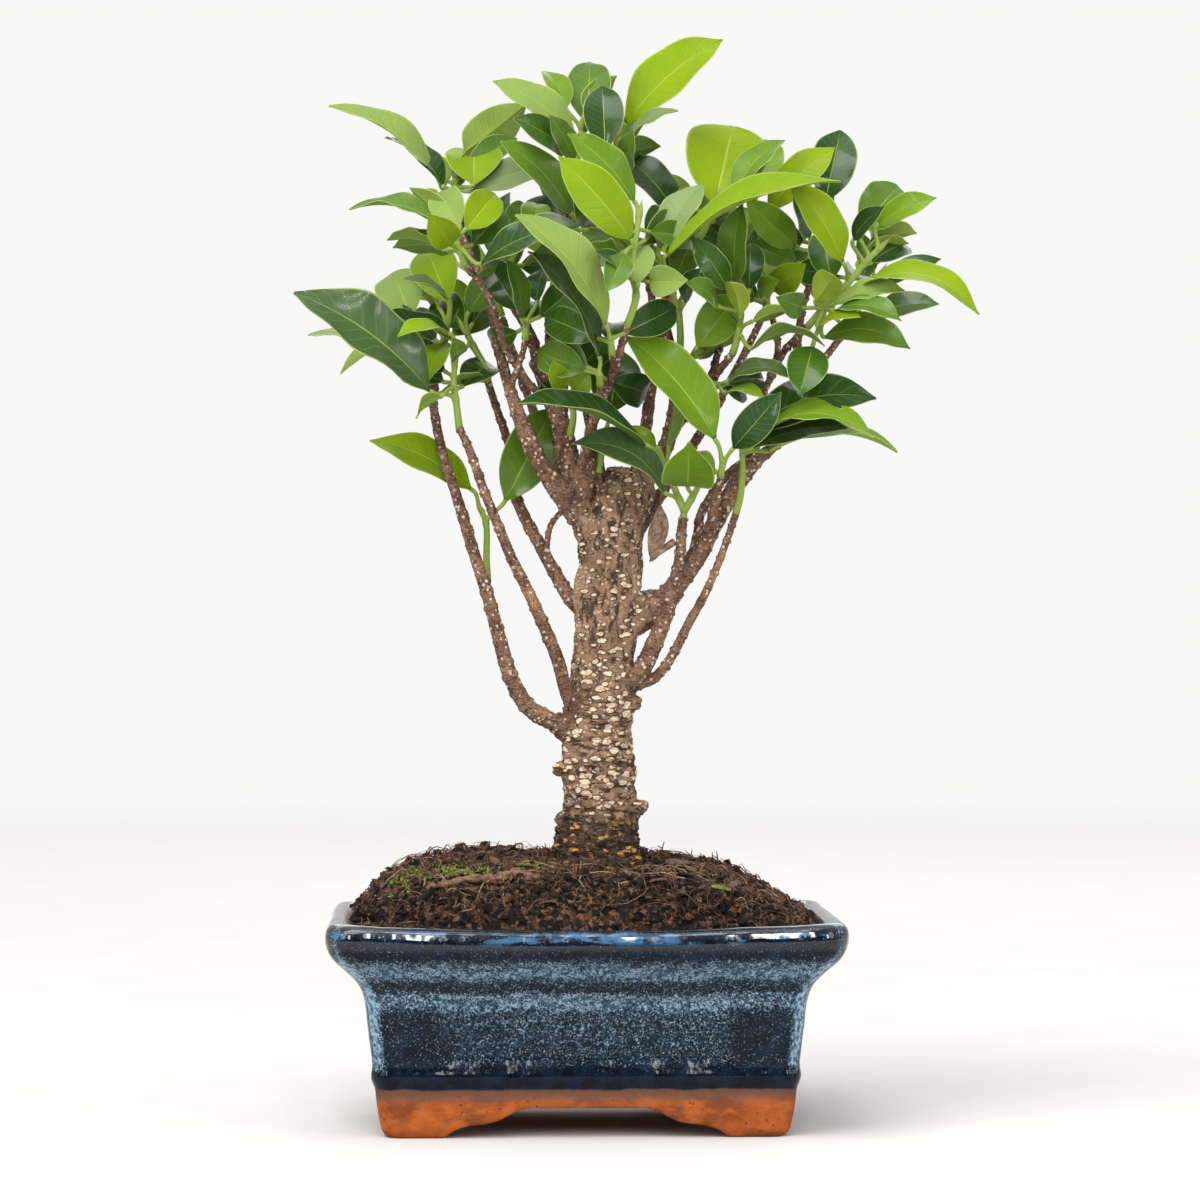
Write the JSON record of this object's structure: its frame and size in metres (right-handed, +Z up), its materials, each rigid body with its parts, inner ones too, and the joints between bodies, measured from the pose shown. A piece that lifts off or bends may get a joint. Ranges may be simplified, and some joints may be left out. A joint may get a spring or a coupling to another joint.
{
  "type": "bonsai tree in a pot",
  "caption": "Small indoor fig grown as a bonsai: thick knobby trunk, thin upright branches and glossy pointed leaves, in soil in a flared rectangular glazed pot on bare clay feet.",
  "frame": {"origin": "on the surface the pot stands on, under the middle of the whole plant's outline seen from above", "axes": "+Z up along the trunk, +X to the right and -Y towards the viewer of the pot's long front"},
  "size_m": [0.2126, 0.149, 0.3427],
  "materials": {
    "glazed_pot": "gloss",
    "screen": "matte",
    "soil": "matte",
    "root": "matte",
    "bark": "matte",
    "dry_leaf": "matte",
    "leaf": "satin"
  },
  "bodies": {
    "root": {"pot": "glazed_pot", "drain_screen_left": "screen", "drain_screen_right": "screen", "soil": "soil", "surface_root": "root", "trunk_and_branches": "bark", "dead_leaf": "dry_leaf", "shoot_back_far_right": "leaf", "shoot_back_left": "leaf", "shoot_back_mid_left": "leaf", "shoot_back_mid_right": "leaf", "shoot_back_right": "leaf", "shoot_centre": "leaf", "shoot_far_left": "leaf", "shoot_fork": "leaf", "shoot_front": "leaf", "shoot_front_high": "leaf", "shoot_front_low": "leaf", "shoot_head": "leaf", "shoot_left": "leaf", "shoot_left_high": "leaf", "shoot_left_inner": "leaf", "shoot_left_lean": "leaf", "shoot_left_mid": "leaf", "shoot_left_twig": "leaf", "shoot_low_right": "leaf", "shoot_main_left": "leaf", "shoot_main_right": "leaf", "shoot_mid": "leaf", "shoot_right": "leaf", "shoot_right_front": "leaf", "shoot_right_front_out": "leaf", "shoot_right_inner": "leaf", "shoot_right_mid": "leaf", "shoot_right_mid_low": "leaf", "shoot_right_out": "leaf", "shoot_right_stem": "leaf", "shoot_top": "leaf", "shoot_top_left": "leaf", "shoot_top_mid": "leaf"}
  },
  "joints": []
}
